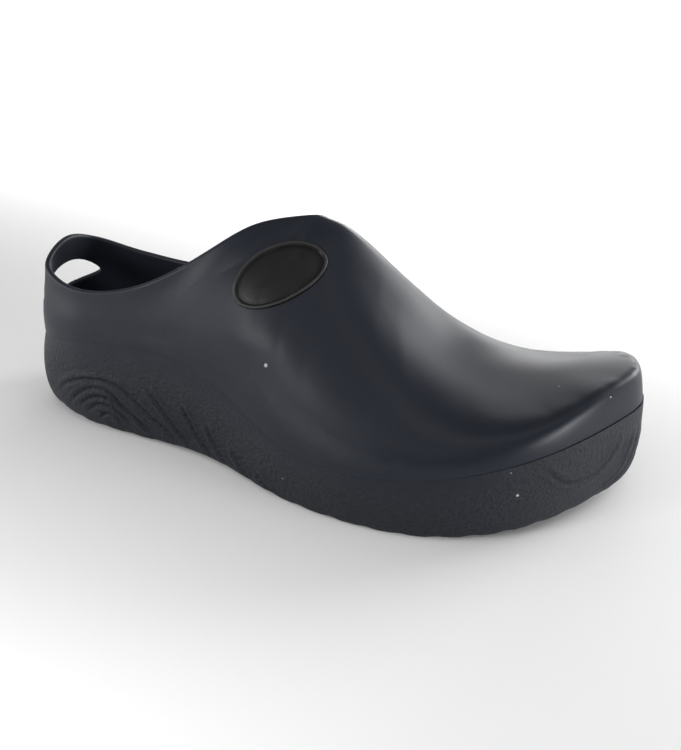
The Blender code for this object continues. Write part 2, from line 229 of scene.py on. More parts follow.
def outward(at):
    """Level direction away from the shoe, square to the parting line."""
    quarter = 0.25
    run = parting(at + quarter) - parting(at - quarter)
    return unit(np.stack([run[:, 1], -run[:, 0], 0 * run[:, 0]], 1))


def top_line(at):
    """Upper end of each section curve: the collar edge, or the crest in front of the throat."""
    at = np.mod(at, ROUND)
    outer = columns(COLLAR, "x_outer", "y_outer", "z_outer")
    inner = columns(COLLAR, "x_inner", "y_inner", "z_inner")
    collar = round_the_shoe(outer, inner, np.where(at <= SPANS, at, at - (ROUND - 2 * THROAT)))
    crest = smooth(columns(CREST, "x", "y", "z"), section_at(at) - THROAT, False)
    return np.where((section_at(at) <= THROAT)[:, None], collar, crest)


def crest_slope(at):
    """Rise of the crest for each millimetre forward."""
    step = 0.05
    along = np.clip(section_at(at) - THROAT, step, len(CREST["x"]) - 1 - step)
    ahead = smooth(columns(CREST, "x", "z"), along + step, False)
    behind = smooth(columns(CREST, "x", "z"), along - step, False)
    return (ahead[:, 1] - behind[:, 1]) / (ahead[:, 0] - behind[:, 0])


def bezier(start, first, second, end, pull, shares):
    """Rational cubic curves, one for each row of points, read at shares of their length."""
    s = np.atleast_2d(shares)[:, :, None]
    w = pull[:, None, None]
    b0, b1, b2, b3 = (1 - s) ** 3, 3 * w * s * (1 - s) ** 2, 3 * w * s**2 * (1 - s), s**3
    total = start[:, None] * b0 + first[:, None] * b1 + second[:, None] * b2 + end[:, None] * b3
    return total / (b0 + b1 + b2 + b3)


def upper_surface(at, shares):
    """Outer face of the upper: section curves from the parting line up to the collar or the crest."""
    foot, top, out, section = parting(at), top_line(at), outward(at), section_at(at)
    lean, pull = (both_sides(SECTION[name], at)[:, None] for name in ("lean", "pull"))
    rise = round_the_shoe(SECTION["rise"], SECTION["rise"] * SECTION["inner_rise"], at)[:, None]
    reach = round_the_shoe(SECTION["reach"], SECTION["reach"] * SECTION["inner_reach"], at)[:, None]
    droop = np.radians(round_the_shoe(SECTION["droop"], SECTION["inner_droop"], at))[:, None]
    lean = np.radians(lean)
    first = foot + rise * (out * np.sin(lean) + UP * np.cos(lean))
    away = (foot - top) * np.array([1, 1, 0])
    on_collar = np.clip((THROAT - section) / COLLAR_RUN_IN, 0, 1)[:, None]
    side = unit(unit(away) * (1 - on_collar) + out * on_collar)
    before_throat = np.clip(section - THROAT + 1, 0, 1)
    fall = (crest_slope(at) * before_throat)[:, None] * side[:, :1]
    second = top + reach * (side * np.cos(droop) + UP * (fall * np.cos(droop) - np.sin(droop)))
    return bezier(foot, first, second, top, pull[:, 0], shares)


def eased(points_of, at, width):
    """Points of a function of places, eased along the shoe: fine kinks go and the broad form stays."""
    return sum(weight * points_of(at + (k - len(EASE) // 2) * width) for k, weight in enumerate(EASE))


def ease_width(at):
    """Reach of the easing, in sections: less round the tight bends of heel and toe."""
    return EASE_WIDTH * np.interp(section_at(at), EASE_ENDS, EASE_SHARES)


def eased_parting(at):
    """Points of the parting line, eased like the upper."""
    return eased(parting, at, ease_width(at))


def sole_side(at, shares, grooves):
    """Outer face of the sole from the parting line down to the bottom edge, lifted in the grooves."""
    out = outward(at)
    tuck, z_edge, swell = (both_sides(SOLE[name], at)[:, None] for name in ("tuck", "z_edge", "swell"))
    step = SOLE_STEP * np.interp(section_at(at), STEP_FROM, STEP_SHARES)[:, None]
    start = eased_parting(at) + out * step - UP * MEETING_GAP
    end = start - out * (tuck + step)
    end[:, 2:] = np.maximum(z_edge, 0) + grooves[:, None]
    height = start[:, 2:] - end[:, 2:]
    first = start - UP * height * SIDE_HANDLE + out * swell
    second = end + out * (tuck * EDGE_TUCK + swell * EDGE_SWELL)
    return bezier(start, first, second, end, np.ones(len(at)), shares)


def upper_points(at, share):
    """Points of the upper's outer face at paired places, eased except at the two ends of the crest."""
    from_throat = np.clip(np.abs(section_at(at) - THROAT) / THROAT_ROOM - THROAT_KEPT, 0, 1)
    from_end = np.clip((SPANS - section_at(at)) / CREST_END_ROOM, 0, 1)
    free = np.maximum(np.minimum(from_throat, from_end), np.clip((1 - share) / THROAT_BELOW, 0, 1))
    width = ease_width(at) * free
    return eased(lambda places: upper_surface(places, share[:, None])[:, 0], at, width)


def side_points(at, share, grooves=0.0):
    """Points of the sole's side at paired places."""
    return sole_side(at, share[:, None], grooves + np.zeros(len(at)))[:, 0]


def slopes(points_of, at, share):
    """Change of a surface's points along the shoe and along its sections at paired places."""
    step = 0.01
    along = points_of(at + step, share) - points_of(at - step, share)
    rising = points_of(at, share + step) - points_of(at, share - step)
    return along / (2 * step), rising / (2 * step)


def surface_normal(points_of, at, share):
    """Unit normal of a surface at paired places, facing outwards where shares run upwards."""
    return unit(np.cross(*slopes(points_of, at, share)))


NET_STEP = 0.25
NET_ROWS = 12
solid_net = upper_surface(np.arange(0, ROUND, NET_STEP), np.linspace(0, 1, NET_ROWS)).reshape(-1, 3)
SHIFT = np.array(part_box("upper")[0]) / MM - solid_net.min(0)
SHIFT[2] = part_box("sole")[0].z / MM
print("the shoe's own zero lies at", np.round(SHIFT, 2), "mm in the packed frame")

# %% [markdown]
# ## Camera
# The photograph is taken from a little in front of the outer side and from above. The angle, the
# distance and the lens were found by laying the outline of the solids over the photograph. The picture
# is taken as 681 by 750 pixels, and a small lens shift puts the shoe where it stands in the frame.

# %% Camera
PICTURE_WIDE, PICTURE_HIGH = 681, 750
CAMERA = {"azimuth": 24.9, "elevation": 26.5, "distance": 495, "looks_at": (145, 0, 45)}
FOCAL_PX = 1066
CENTRE_PX = (322, 357.8)
SENSOR_WIDE = 36
CLIP_START = 0.01


def in_frame(points):
    """Points of the shoe, in millimetres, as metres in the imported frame."""
    return (np.asarray(points, float) + SHIFT) * MM


def add_camera():
    """Camera at the photograph's angle and framing."""
    azimuth, elevation = math.radians(CAMERA["azimuth"]), math.radians(CAMERA["elevation"])
    right = Vector((math.cos(azimuth), math.sin(azimuth), 0))
    back = Vector((math.sin(azimuth) * math.cos(elevation), -math.cos(azimuth) * math.cos(elevation),
                   math.sin(elevation)))
    turn = Matrix((right, back.cross(right), back)).transposed()
    data = bpy.data.cameras.new("camera")
    data.sensor_fit = "HORIZONTAL"
    data.sensor_width = SENSOR_WIDE
    data.lens = SENSOR_WIDE * FOCAL_PX / PICTURE_WIDE
    data.shift_x = (PICTURE_WIDE / 2 - CENTRE_PX[0]) / PICTURE_WIDE
    data.shift_y = (CENTRE_PX[1] - PICTURE_HIGH / 2) / PICTURE_WIDE
    data.clip_start = CLIP_START
    camera = bpy.data.objects.new("camera", data)
    stand = Vector(in_frame(CAMERA["looks_at"])) + back * CAMERA["distance"] * MM
    camera.matrix_world = Matrix.Translation(stand) @ turn.to_4x4()
    bpy.context.scene.collection.objects.link(camera)
    bpy.context.scene.camera = camera
    return camera


camera = add_camera()
print("camera", [round(c, 3) for c in camera.location], "lens", round(camera.data.lens, 1))

# %% [markdown]
# ## From a flat grid to a piece
# Leather is cut flat and then pulled over the last. The meshes here are made the same way:
# bmesh.ops.create_grid makes a flat sheet, its vertices are read as places on the last, and one call
# lays them on the surface. A few helpers read and write all vertices at once, and one turns a finished
# bmesh into a piece that rides on the body.

# %% Helpers for meshes
WELD = 0.01 * MM
SMOOTH_ANGLE = math.radians(35)


def coordinates(verts):
    """Coordinates of vertices as one array."""
    return np.array([v.co for v in verts], float).reshape(-1, 3)


def place(verts, points):
    """Moves vertices to points."""
    for vert, point in zip(verts, points):
        vert.co = point


def flat_grid(bm, across, along):
    """Adds a flat grid whose x runs from 0 to 1 in `across` steps and y from 0 to 1 in `along` steps."""
    made = bmesh.ops.create_grid(bm, x_segments=across, y_segments=along, size=0.5)["verts"]
    bmesh.ops.translate(bm, verts=made, vec=(0.5, 0.5, 0))
    return made


def face_outwards(bm):
    """Welds a surface and turns its faces away from the middle of the shoe."""
    bmesh.ops.remove_doubles(bm, verts=bm.verts[:], dist=WELD)
    bmesh.ops.recalc_face_normals(bm, faces=bm.faces[:])
    middle = Vector(coordinates(bm.verts).mean(0))
    if sum((f.calc_center_median() - middle).dot(f.normal) * f.calc_area() for f in bm.faces) < 0:
        bmesh.ops.reverse_faces(bm, faces=bm.faces[:])


def closed_or_open(bm):
    """Says whether a surface is closed."""
    return "closed" if all(e.is_manifold for e in bm.edges) else "open"


def make_piece(name, bm, replaced=None):
    """Turns a bmesh into an object at the origin that rides on the one body of the shoe."""
    data = bpy.data.meshes.new(name)
    bm.to_mesh(data)
    bm.free()
    data.shade_smooth()
    data.set_sharp_from_angle(angle=SMOOTH_ANGLE)
    piece = bpy.data.objects.new(name, data)
    bpy.context.scene.collection.objects.link(piece)
    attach(piece, "root")
    if replaced:
        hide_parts(replaced)
    triangles = sum(len(p.vertices) - 2 for p in data.polygons)
    print(name, "has", triangles, "triangles")
    return piece


# %% [markdown]
# ## Upper
# The shell is one skin of polyurethane about 2.8 mm thick with a rounded edge at the collar. A Boolean
# could cut the heel hole and the seat of the badge, but it leaves long thin faces that show in a glossy
# skin. So both are cut while the sheet is still flat: faces inside the oval are taken out or marked,
# and the vertices along its edge are moved on to the true curve, with the ones around them relaxed.

# %% Pattern of the upper
UPPER_COLUMNS = 576
UPPER_ROWS = 72
UPPER_WALL = 2.8
HOLE = {"half_width": 21, "half_height": 6.8, "z": 62.5, "sag": 3.5}
BADGE = {"section": 5.75, "share": 0.66, "half_long": 22, "half_short": 13.5, "lie": (32, 24, 17)}
FLASH = {"from_deg": -150, "to_deg": -40, "depth": 0.2, "fade": 1.5, "waves": (31, 13.7, 57), "fine": 0.6}
LIP = UPPER_WALL / 2
LIP_ENDS = 0.4
LENGTH_SAMPLES = 9
SEEK_STEPS = 8


def places_under(wanted, axes, at, share):
    """Places on the upper whose points have wanted coordinates along two axes, found from near ones."""
    for _ in range(SEEK_STEPS):
        off = wanted - upper_points(at, share) @ axes.T
        by_at, by_share = (slope @ axes.T for slope in slopes(upper_points, at, share))
        area = by_at[:, 0] * by_share[:, 1] - by_share[:, 0] * by_at[:, 1]
        at = at + (by_share[:, 1] * off[:, 0] - by_share[:, 0] * off[:, 1]) / area
        share = share + (by_at[:, 0] * off[:, 1] - by_at[:, 1] * off[:, 0]) / area
    return at, share


def badge_axes():
    """Middle of the badge on the upper, with its long and short axes in the surface."""
    at, share = np.array([float(BADGE["section"])]), np.array([BADGE["share"]])
    middle = upper_points(at, share)[0]
    normal = surface_normal(upper_points, at, share)[0]
    long_axis = np.array(BADGE["lie"], float)
    long_axis = unit(long_axis - normal * (normal @ long_axis))
    return middle, np.stack([long_axis, np.cross(normal, long_axis)])


def hole_flash(turn):
    """Ragged mould flash along the lower edge of the hole, as a change of its half height."""
    middle = math.radians(FLASH["from_deg"] + FLASH["to_deg"]) / 2
    half = math.radians(FLASH["to_deg"] - FLASH["from_deg"]) / 2
    inside = np.clip(FLASH["fade"] - FLASH["fade"] * np.abs(turn - middle) / half, 0, 1)
    quick, slow, fine = FLASH["waves"]
    ragged = np.sin(quick * turn) * np.sin(slow * turn + 1) + FLASH["fine"] * np.sin(fine * turn)
    return FLASH["depth"] * inside * ragged


def hole_oval(points, grow):
    """Level of the heel hole's oval at points, 1 on its edge, and the nearest points of that edge."""
    wide, high = HOLE["half_width"] + grow, HOLE["half_height"] + grow
    across = points[:, 1] / wide
    up = (points[:, 2] - HOLE["z"] + HOLE["sag"] * across**2) / high
    turn = np.arctan2(up, across)
    edge_z = HOLE["z"] + (high + hole_flash(turn)) * np.sin(turn) - HOLE["sag"] * np.cos(turn) ** 2
    return np.hypot(across, up), np.stack([wide * np.cos(turn), edge_z], 1)


def badge_oval(points):
    """Level of the badge seat's oval at points of the upper and the nearest points of its edge."""
    middle, axes = badge_axes()
    flat = (points - middle) @ axes.T / np.array([BADGE["half_long"], BADGE["half_short"]])
    turn = np.arctan2(flat[:, 1], flat[:, 0])
    edge = np.stack([BADGE["half_long"] * np.cos(turn), BADGE["half_short"] * np.sin(turn)], 1)
    return np.hypot(*flat.T), edge + middle @ axes.T


upper = bmesh.new()
pattern = flat_grid(upper, UPPER_COLUMNS, UPPER_ROWS)
flat = coordinates(pattern)
at = (flat[:, 0] - 0.5) * ROUND
lines = upper_surface(at, np.linspace(0, 1, LENGTH_SAMPLES))
lengths = np.linalg.norm(np.diff(lines, axis=1), axis=2).sum(1)
shortened = LIP / lengths * np.clip((THROAT - section_at(at)) / LIP_ENDS, 0, 1)
place(pattern, np.stack([at, flat[:, 1] * (1 - shortened), flat[:, 1]], 1))
cut_short = round(float((shortened * lengths).max()), 2)
print("pattern of", len(pattern), "vertices, cut short by", cut_short, "mm")

# %% [markdown]
# The pattern's x is the place round the shoe and its y the share of the section's height, so the ovals
# can be tested by laying each face's middle on the last. Its z holds the row, and is lost when the
# sheet is laid on.

# %% Cut the heel hole and mark the badge seat
HOLE_NEAR = 3
HOLE_SHARES = (0.05, 0.9)
ON_OVAL = -1
RELAX = {"rings": 4, "rounds": 6, "factor": 0.5}


def places_of(verts):
    """Places round the shoe and shares of height held by pattern vertices."""
    spots = coordinates(verts)
    return spots[:, 0].copy(), spots[:, 1].copy()


def face_middles(faces):
    """Middles of pattern faces, laid on the upper."""
    middles = np.array([f.calc_center_median() for f in faces], float)
    return middles, upper_points(middles[:, 0], middles[:, 1])


def snap_edge(bm, verts, wanted, axes):
    """Moves pattern vertices on to an oval's edge, then relaxes the sheet around them."""
    at, share = places_under(wanted, axes, *places_of(verts))
    place(verts, np.stack([at, share, np.full(len(verts), ON_OVAL)], 1))
    edge = set(verts)
    near = set(verts)
    for _ in range(RELAX["rings"]):
        near |= {e.other_vert(v) for v in near for e in v.link_edges}
    loose = [v for v in near - edge if not v.is_boundary]
    loose.sort(key=lambda v: tuple(v.co))
    for _ in range(RELAX["rounds"]):
        bmesh.ops.smooth_vert(bm, verts=loose, factor=RELAX["factor"], use_axis_x=True, use_axis_y=True)


upper.faces.ensure_lookup_table()
seat_mark = upper.faces.layers.int.new("seat")
foot_mark = upper.verts.layers.float.new("foot")
half_row = 0.5 / UPPER_ROWS
for vert in upper.verts:
    vert[foot_mark] = float(vert.co.z < half_row)
faces = upper.faces[:]
middles, on_last = face_middles(faces)
in_seat = badge_oval(on_last)[0] < 1
for face, marked in zip(faces, in_seat & (middles[:, 0] > 0)):
    face[seat_mark] = int(marked)
in_hole = (hole_oval(on_last, LIP)[0] < 1) & (np.abs(middles[:, 0]) < HOLE_NEAR)
bmesh.ops.delete(upper, geom=[f for f, cut in zip(faces, in_hole) if cut], context="FACES")
lowest, highest = HOLE_SHARES
hole_edge = [v for v in upper.verts
             if v.is_boundary and abs(v.co.x) < HOLE_NEAR and lowest < v.co.y < highest]
hole_points = upper_points(*places_of(hole_edge))
snap_edge(upper, hole_edge, hole_oval(hole_points, LIP)[1], np.eye(3)[1:])
seat_edge = [v for v in upper.verts if 0 < sum(f[seat_mark] for f in v.link_faces) < len(v.link_faces)]
seat_points = upper_points(*places_of(seat_edge))
snap_edge(upper, seat_edge, badge_oval(seat_points)[1], badge_axes()[1])
print(len(hole_edge), "vertices round the heel hole and", len(seat_edge), "round the badge seat")

# %% [markdown]
# ## Creases
# The mould has a few soft troughs and ridges of its own. Each is a line of places on the upper with a
# width and a height in millimetres, and the skin is pushed along its normal by a bell-shaped profile
# across that line. A ridge has a positive height and a trough a negative one. The two heights are those
# at its start and at its end. All sections run together at the top of the toe, where a gloss shows
# every small unevenness. So the heights there are read from paraboloids that are fitted to the points
# round about.

# %% Lay the pattern on the last
FOOT_DROP = 0.27
OVAL_WELD = 0.5
AT_TOP = 1 - 1e-6
CALM = {
    "sections": (7.2, 9),
    "from": ((9.5, 11), (0.42, 0.6)),
    "run_in": 0.27,
    "reach": 11,
    "unit": 20,
    "net": (90, 20),
}
CREST_END = np.array([CREST["x"][-1], CREST["y"][-1]])
CREASES = (
    {"from": (105, -40, 62), "to": (142, -46, 72), "width": 11, "heights": (0.8, 0.8)},
    {"from": (152, 9, 105), "to": (214, 15.5, 56), "width": 15, "heights": (2.7, 0.2)},
)


def crease_relief(points):
    """Height of all creases at points of the upper."""
    relief = np.zeros(len(points))
    for crease in CREASES:
        start, end = np.array(crease["from"], float), np.array(crease["to"], float)
        run = end - start
        along = np.clip((points - start) @ run / (run @ run), 0, 1)
        gap = np.linalg.norm(points - start - along[:, None] * run, axis=1)
        first, last = crease["heights"]
        height = first + (last - first) * soft_step(2 * along - 1)
        relief += height * np.exp(-((gap / crease["width"]) ** 2))
    return relief


def terms(points):
    """Terms of a paraboloid over the plan of points."""
    x, y = ((points[:, :2] - CREST_END) / CALM["unit"]).T
    return np.stack([1 + 0 * x, x, y, x * x, x * y, y * y], 1)


def calm_heights(points, samples):
    """Heights at points of a calm top: round each point a paraboloid is fitted to the samples near it."""
    kinds = terms(samples)
    products = (kinds[:, :, None] * kinds[:, None]).reshape(len(samples), -1)
    gaps = np.linalg.norm(points[:, None, :2] - samples[None, :, :2], axis=2)
    weights = np.exp(-((gaps / CALM["reach"]) ** 2))
    sums = (weights @ products).reshape(len(points), kinds.shape[1], -1)
    shares = np.linalg.solve(sums, (weights @ (kinds * samples[:, 2:]))[:, :, None])[:, :, 0]
    return (terms(points) * shares).sum(1)


def calm_net():
    """Points spread over the top of the toe, from which its calm heights are read."""
    start = CALM["sections"][0]
    stations, rows = CALM["net"]
    net = np.meshgrid(np.linspace(start, ROUND - start, stations), np.linspace(0, 1, rows))
    at, up = (axis.ravel() for axis in net)
    lowest = np.interp(section_at(at), *CALM["from"])
    return upper_points(at, lowest + (1 - lowest) * up)


def calm_share(at, share):
    """How far the calm heights hold at paired places: fully at the top of the toe, and fading round it."""
    calm = soft_step(np.interp(section_at(at), CALM["sections"], (0, 1)))
    return calm * soft_step((share - np.interp(section_at(at), *CALM["from"])) / CALM["run_in"])


at, share = places_of(upper.verts)
on_last = upper_points(at, share)
calm = calm_share(at, share)
on_top = np.where(calm > 0)[0]
calm_top = calm_heights(on_last[on_top], calm_net())
on_last[on_top, 2] += calm[on_top] * (calm_top - on_last[on_top, 2])
square = surface_normal(upper_points, at, share)
on_crest = (share > AT_TOP) & (section_at(at) >= THROAT)
other_side = surface_normal(upper_points, -at[on_crest], share[on_crest])
square[on_crest] = unit(square[on_crest] + other_side)
on_last += square * crease_relief(on_last)[:, None]
on_last[:, 2] -= FOOT_DROP * np.array([v[foot_mark] for v in upper.verts])
under = upper.verts.layers.float_vector.new("under")
for vert, point in zip(upper.verts, in_frame(on_last - square * UPPER_WALL)):
    vert[under] = point
oval_edges = [v for v in upper.verts if v.co.z < 0]
place(upper.verts, in_frame(on_last))
bmesh.ops.remove_doubles(upper, verts=oval_edges, dist=OVAL_WELD * MM)
face_outwards(upper)
fold = [v for v in upper.verts if len(v.link_faces) == 2 and not v.is_boundary]
bmesh.ops.dissolve_verts(upper, verts=fold)
skin = coordinates(upper.verts)
print("upper skin", np.round(skin.min(0) / MM, 1), "to", np.round(skin.max(0) / MM, 1), "mm")

# %% [markdown]
# Solidify gives the skin its wall, with square edges. The edges at the collar and the hole are rounded:
# the wall's cross edges are cut into short ones, whose ends are moved on to a half circle between the
# two faces. The circle's middle, radius and bulge are stored on both ends of each cross edge, and
# Blender blends stored values along an edge that it cuts, so every new vertex knows its place.

# %% Wall and rounded lips
LIP_CUTS = 7
LIP_AT_THROAT = 0.35
LIP_RUN_IN = 12
THROAT_POINT = [CREST[axis][0] for axis in "xyz"]


def lip_share(spot):
    """How far the lip bulges: full along the collar, flatter where it meets the crest at the throat."""
    gap = np.linalg.norm(np.array(spot) / MM - SHIFT - THROAT_POINT)
    return float(np.interp(gap, (0, LIP_RUN_IN), (LIP_AT_THROAT, 1)))


def rim_neighbours(vert):
    """Vertices next to one along the edge of the outer skin, where the faces across the wall begin."""
    beside = [e.other_vert(vert) for e in vert.link_edges if e.other_vert(vert) in outer_verts]
    return [v for v in beside if any(not set(f.verts) <= outer_verts
                                     for f in set(v.link_faces) & set(vert.link_faces))]


stored = {name: upper.verts.layers.float_vector.new(name) for name in ("middle", "half", "bulge")}
# The inner wall is marked here; its finish paints it paler, as painted light inside the shell.
turned, inner_wall_and_painted_light_mark = (upper.verts.layers.float.new(name) for name in ("turned", "inside"))
outer_verts = set(upper.verts)
bmesh.ops.solidify(upper, geom=upper.faces[:], thickness=UPPER_WALL * MM)
for vert in upper.verts:
    if vert not in outer_verts:
        vert[inner_wall_and_painted_light_mark] = 1
        vert.co = vert[under]
cross = []
for edge in upper.edges:
    outer, inner = edge.verts if edge.verts[0] in outer_verts else reversed(edge.verts)
    if (inner in outer_verts) or (outer not in outer_verts) or outer[foot_mark] > 0.5:
        continue
    skin_faces = [f for f in outer.link_faces if all(v in outer_verts for v in f.verts)]
    rim = rim_neighbours(outer)
    half = (outer.co - inner.co) / 2
    bulge = (rim[1].co - rim[0].co).cross(half).normalized() * half.length
    away = outer.co - sum((f.calc_center_median() for f in skin_faces), Vector()) / len(skin_faces)
    for end, turn in ((outer, 0), (inner, 1)):
        end[stored["middle"]] = (outer.co + inner.co) / 2
        end[stored["half"]] = half
        end[stored["bulge"]] = (bulge if bulge.dot(away) > 0 else -bulge) * lip_share(outer.co)
        end[turned] = turn
    cross.append(edge)
cut = bmesh.ops.subdivide_edges(upper, edges=cross, cuts=LIP_CUTS)
for vert in cut["geom_inner"]:
    if isinstance(vert, bmesh.types.BMVert):
        angle = math.pi * vert[turned]
        vert.co = vert[stored["middle"]] + math.cos(angle) * vert[stored["half"]] \
            + math.sin(angle) * vert[stored["bulge"]]
print(len(cross), "cross edges rounded,", closed_or_open(upper))

# %% [markdown]
# The badge lies in a shallow seat, so that its bead stands only a little above the skin. A Boolean
# would leave thin faces here. The faces of the seat are marked already, so they are extruded and the
# new floor is moved in along its normals, which leaves a clean wall round it.

# %% Badge seat
BADGE_SEAT = 1.2
seat = [f for f in upper.faces if f[seat_mark] and not any(v[inner_wall_and_painted_light_mark] for v in f.verts)]
sunk = bmesh.ops.extrude_face_region(upper, geom=seat)["geom"]
bmesh.ops.delete(upper, geom=seat, context="FACES")
upper.normal_update()
floor_verts = [g for g in sunk if isinstance(g, bmesh.types.BMVert)]
place(floor_verts, coordinates(floor_verts) - np.array([v.normal for v in floor_verts]) * BADGE_SEAT * MM)
print(len(seat), "faces sunk for the badge,", closed_or_open(upper))
for layer in (*stored.values(), under):
    upper.verts.layers.float_vector.remove(layer)
upper_piece = make_piece("upper_shell", upper, "upper")

# %% [markdown]
# ## Sole
# The sole is moulded with its whole relief: rainbow ribs at the heel side, curved ribs round the toe
# and cross lugs underneath. Ribs could be separate strips, but then each would need a seam. Here they
# are heights added to one fine sheet. Every groove is a smooth line through a few places on the side,
# each given as a section and a share of the height from the top down. The distance to that line, in
# millimetres, gives a narrow groove with a rounded shoulder on both sides.

# %% Ribs of the sole's side
STATIONS_PER_LUG = 16
SOLE_ROWS = 72
LUGS = 24
LUG_FLAT = 0.62
LUG_GROOVE = 3.0
GROOVES = (
    ((1.5, 0.5), (1.75, 0.36), (2.1, 0.28), (2.5, 0.26), (2.8, 0.3), (3.05, 0.39), (3.3, 0.5),
     (3.6, 0.63), (3.9, 0.82)),
    ((1.7, 0.62), (1.95, 0.46), (2.2, 0.36), (2.45, 0.33), (2.65, 0.37), (2.9, 0.5), (3.15, 0.64),
     (3.4, 0.8)),
    ((1.95, 0.6), (2.15, 0.48), (2.4, 0.41), (2.65, 0.43), (2.85, 0.49), (3.1, 0.59), (3.3, 0.72)),
    ((2.15, 0.62), (2.35, 0.5), (2.55, 0.49), (2.75, 0.55), (2.95, 0.66)),
    ((2.35, 0.69), (2.5, 0.59), (2.65, 0.6), (2.8, 0.69)),
    ((3.25, 0.24), (3.5, 0.38), (3.8, 0.58), (4.1, 0.78)),
    ((3.9, 0.3), (4.1, 0.43), (4.25, 0.56), (4.6, 0.8)),
    ((4.45, 0.36), (4.65, 0.55), (4.9, 0.76)),
    ((5.05, 0.44), (5.25, 0.64), (5.5, 0.86)),
    ((5.6, 0.53), (5.77, 0.67), (6, 0.86)),
    ((9.72, 0.03), (9.95, 0.16), (10.15, 0.28), (10.4, 0.35), (10.6, 0.36), (10.8, 0.34), (11, 0.27),
     (11.15, 0.18), (11.2, 0.07)),
    ((11.6, 0.12), (11.5, 0.28), (11.42, 0.4), (11.3, 0.5), (11.1, 0.57), (10.8, 0.63)),
    ((11.82, 0.14), (11.74, 0.32), (11.64, 0.46), (11.5, 0.57), (11.25, 0.65), (10.95, 0.7)),
    ((11.98, 0.3), (11.9, 0.5), (11.72, 0.62), (11.4, 0.71), (11.1, 0.77)),
)
GROOVE_SAMPLES = 240
GROOVE_ENDS = 0.16
GROOVE = {"half_width": 0.7, "deep": 0.55, "shoulder_at": 2.2, "shoulder_half": 1.2, "proud": 0.75}
TOE_GROOVES = {"from": 9, "share": 0.6}
GROOVE_NEAR = 0.4
GROOVE_SPREAD = 1.9
PITS = {"pitch": 3.4, "sections": (3, 6), "between": 0.5, "deeper": 0.8}
SIDE_FADE = {"floor": (0.5, 2.5), "bottom": 0.04, "top": 0.06}


def groove_line(places, mirrored):
    """Points along a groove on the sole's side, with its fading ends and its chain of pits."""
    at, share = smooth(places, np.linspace(0, len(places) - 1, GROOVE_SAMPLES), False).T
    along = np.linspace(0, 1, GROOVE_SAMPLES)
    points = side_points(ROUND - at if mirrored else at, share)
    shown = soft_step(along / GROOVE_ENDS) * soft_step((1 - along) / GROOVE_ENDS)
    run = np.concatenate([[0], np.cumsum(np.linalg.norm(np.diff(points, axis=0), axis=1))])
    beat = np.maximum(np.cos(2 * math.pi * run / PITS["pitch"]), 0) ** 2
    pitted = (at > PITS["sections"][0]) & (at < PITS["sections"][1])
    return points, shown, np.where(pitted, PITS["between"] + PITS["deeper"] * beat, 1)


def side_relief(at, share, points):
    """Height of the ribs on the sole's side and depth share of their grooves, faded out at the floor."""
    relief, hollow = np.zeros(len(at)), np.zeros(len(at))
    for places in GROOVES:
        sections = [section for section, _ in places]
        low, high = min(sections) - GROOVE_NEAR, max(sections) + GROOVE_NEAR
        strength = TOE_GROOVES["share"] if min(sections) > TOE_GROOVES["from"] else 1
        for mirrored in (False, True):
            near = (section_at(at) > low) & (section_at(at) < high)
            near = np.where(near & ((at < 0) == mirrored))[0]
            line, shown, pits = groove_line(places, mirrored)
            shown = shown * strength
            gaps = np.linalg.norm(points[near][:, None] - line[None], axis=2)
            nearest = gaps.argmin(1)
            gap = gaps[np.arange(len(near)), nearest]
            shoulder = np.exp(-(((gap - GROOVE["shoulder_at"]) / GROOVE["shoulder_half"]) ** 2))
            groove = np.exp(-((gap / GROOVE["half_width"]) ** 2)) * pits[nearest]
            relief[near] = np.maximum(relief[near], GROOVE["proud"] * shoulder * shown[nearest])
            hollow[near] = np.maximum(hollow[near], groove * shown[nearest])
    above_floor = (points[:, 2] - SIDE_FADE["floor"][0]) / SIDE_FADE["floor"][1]
    fade = soft_step(above_floor) * soft_step((1 - share) / SIDE_FADE["bottom"])
    fade = fade * soft_step(share / SIDE_FADE["top"])
    return relief * fade * np.maximum(1 - hollow, 0), hollow * fade


def groove_depth(section):
    """Depth of the rounded grooves between the lugs along the bottom edge."""
    phase = np.mod(section * LUGS / SPANS, 1)
    half = (1 - LUG_FLAT) / 2
    off = np.abs(np.mod(phase - LUG_FLAT - half + 0.5, 1) - 0.5)
    share = soft_step(1 - off / (GROOVE_SPREAD * half))
    share = np.where(section > SPANS - half, 0, share)
    return LUG_GROOVE * share * both_sides(SOLE["groove"], section)


print(len(GROOVES), "grooves on each side of the sole")

# %% [markdown]
# The sole is closed by four sheets: its side, its rim with the wall of the cup, its bottom and the
# floor of the cup. One sphere or box could be pulled into this form, but four flat grids keep the mesh
# even, and each is laid on by a function of its own. Their edges meet in the same points, so a weld
# joins them. Two values are kept on every vertex for the finish: how deep it lies in a groove, and how
# much grain it has.

# %% Sole sheets
SOLE_RIM = 3.4
RIM_FALL = 0.3
CUP_SLOPE = 4.6
CUP_FALL = 0.6
CUP_ROWS = 8
RUNGS = 24
EDGE_GROOVE = 0.18
GRAIN_RUN_IN = 0.22
GRAIN_CRISP = (8.5, 9.5)
GROOVE_RUN_OUT = 0.12


def sole_place(flat):
    """Points of the sole's side for a flat grid, with its ribs, and the depth share of its grooves."""
    at, share = (flat[:, 0] - 0.5) * ROUND, 1 - flat[:, 1]
    points = side_points(at, share, EDGE_GROOVE * groove_depth(section_at(at)))
    normals = -surface_normal(side_points, at, share)
    relief, hollow = side_relief(at, share, points)
    points = points + normals * (relief - GROOVE["deep"] * hollow)[:, None]
    points[:, 2] = np.maximum(points[:, 2], 0)
    return points, hollow


